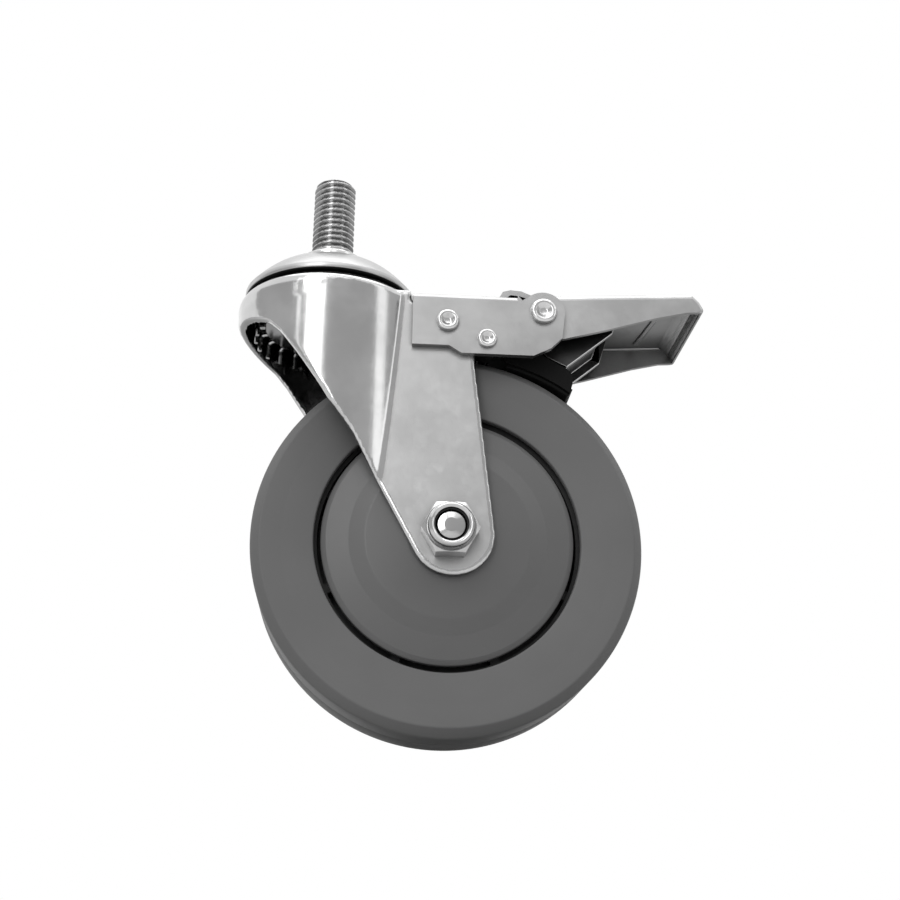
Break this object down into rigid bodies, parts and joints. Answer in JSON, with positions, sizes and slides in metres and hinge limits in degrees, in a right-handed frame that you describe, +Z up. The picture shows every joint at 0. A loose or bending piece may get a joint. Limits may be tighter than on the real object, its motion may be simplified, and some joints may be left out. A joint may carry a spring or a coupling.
{
  "type": "castor wheel",
  "caption": "Swivel castor with a threaded stem, a bright plated steel fork, a grey soft-tyred wheel on ball bearings and a pressed pedal that brakes the wheel and the swivel.",
  "frame": {"origin": "on the swivel axis, on the shoulder face that the stem is screwed down to", "axes": "+Z up the threaded stem, +X towards the brake pedal, +Y to the far side, along the wheel's axle"},
  "size_m": [0.1286, 0.0517, 0.1608],
  "materials": {
    "threaded_stem": "bright zinc plate",
    "head_cap": "bright zinc plate",
    "dust_seal": "satin black",
    "lower_race": "hardened steel",
    "lock_ring": "zinc plate",
    "upper_balls": "polished",
    "lower_balls": "polished",
    "fork": "bright zinc plate",
    "brake_housing": "satin zinc plate",
    "housing_rivets": "bright zinc plate",
    "arm_pin": "bright zinc plate",
    "pedal_pin": "bright zinc plate",
    "axle_bolt": "bright zinc plate",
    "axle_nut": "bright zinc plate",
    "nut_insert": "matt dark",
    "axle_bushes": "zinc plate",
    "spacer_tube": "plain steel",
    "bearing_inner_rings": "ground steel",
    "thread_guard_near": "satin grey",
    "thread_guard_far": "satin grey",
    "tyre": "satin grey",
    "hub_core": "matt dark grey",
    "bearing_outer_rings": "ground steel",
    "bearing_balls": "polished",
    "bearing_shields": "pressed steel",
    "pedal": "satin zinc plate",
    "cam_lever": "satin zinc plate",
    "brake_arm": "black",
    "brake_shoe": "matt black"
  },
  "bodies": {
    "head": {"threaded_stem": "threaded_stem", "head_cap": "head_cap", "dust_seal": "dust_seal", "lower_race": "lower_race", "lock_ring": "lock_ring", "upper_balls": "upper_balls", "lower_balls": "lower_balls"},
    "fork_assembly": {"fork": "fork", "brake_housing": "brake_housing", "housing_rivets": "housing_rivets", "arm_pin": "arm_pin", "pedal_pin": "pedal_pin", "axle_bolt": "axle_bolt", "axle_nut": "axle_nut", "nut_insert": "nut_insert", "axle_bushes": "axle_bushes", "spacer_tube": "spacer_tube", "bearing_inner_rings": "bearing_inner_rings", "thread_guard_near": "thread_guard_near", "thread_guard_far": "thread_guard_far"},
    "wheel": {"tyre": "tyre", "hub_core": "hub_core", "bearing_outer_rings": "bearing_outer_rings", "bearing_balls": "bearing_balls", "bearing_shields": "bearing_shields"},
    "pedal_assembly": {"pedal": "pedal", "cam_lever": "cam_lever"},
    "brake_arm_assembly": {"brake_arm": "brake_arm", "brake_shoe": "brake_shoe"}
  },
  "joints": [
    {"name": "swivel", "type": "hinge", "parent": "head", "child": "fork_assembly", "pos_m": [0, 0, 0], "axis": [0, 0, 1], "continuous": true},
    {"name": "wheel_spin", "type": "hinge", "parent": "fork_assembly", "child": "wheel", "pos_m": [0.0335, 0, -0.085], "axis": [0, 1, 0], "continuous": true},
    {"name": "pedal_press", "type": "hinge", "parent": "fork_assembly", "child": "pedal_assembly", "pos_m": [0.0581, 0, -0.0227], "axis": [0, 1, 0], "range_deg": [0, 25]},
    {"name": "arm_swing", "type": "hinge", "parent": "fork_assembly", "child": "brake_arm_assembly", "pos_m": [0.0428, 0, -0.0314], "axis": [0, 1, 0], "range_deg": [0, 2]}
  ],
  "couplings": [
    {"joint": "arm_swing", "follows": "pedal_press", "ratio": 0.08}
  ]
}
